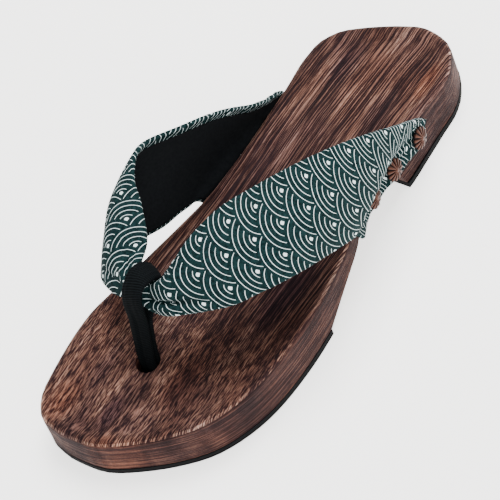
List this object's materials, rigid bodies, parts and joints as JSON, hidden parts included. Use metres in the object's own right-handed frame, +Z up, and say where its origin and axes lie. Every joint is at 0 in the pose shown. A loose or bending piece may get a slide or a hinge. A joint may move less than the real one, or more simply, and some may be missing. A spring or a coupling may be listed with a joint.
{
  "type": "geta sandal",
  "caption": "Left wooden sandal with a one-piece carved base, arch, rubber sheets under both blocks, a nailed cloth strap and a cloth toe post.",
  "frame": {"origin": "on the floor, below the middle of the sandal's box", "axes": "+Y from the toe to the heel, +X towards the outer side of the foot, +Z up from the floor"},
  "size_m": [0.102, 0.2712, 0.0784],
  "materials": {
    "base_wood": "charred and brushed, dark brown, waxed",
    "sole_rubber": "matte black sheet",
    "strap_cloth": "printed cotton over a thin pad",
    "post_cloth": "black ribbed cloth",
    "nail_copper": "antique copper"
  },
  "bodies": {
    "root": {"wooden_base": "base_wood", "front_rubber_sole": "sole_rubber", "heel_rubber_sole": "sole_rubber", "strap_upper": "strap_cloth", "toe_post": "post_cloth", "nail_outer_1": "nail_copper", "nail_outer_2": "nail_copper", "nail_outer_3": "nail_copper", "nail_inner_1": "nail_copper", "nail_inner_2": "nail_copper", "nail_inner_3": "nail_copper"}
  },
  "joints": []
}
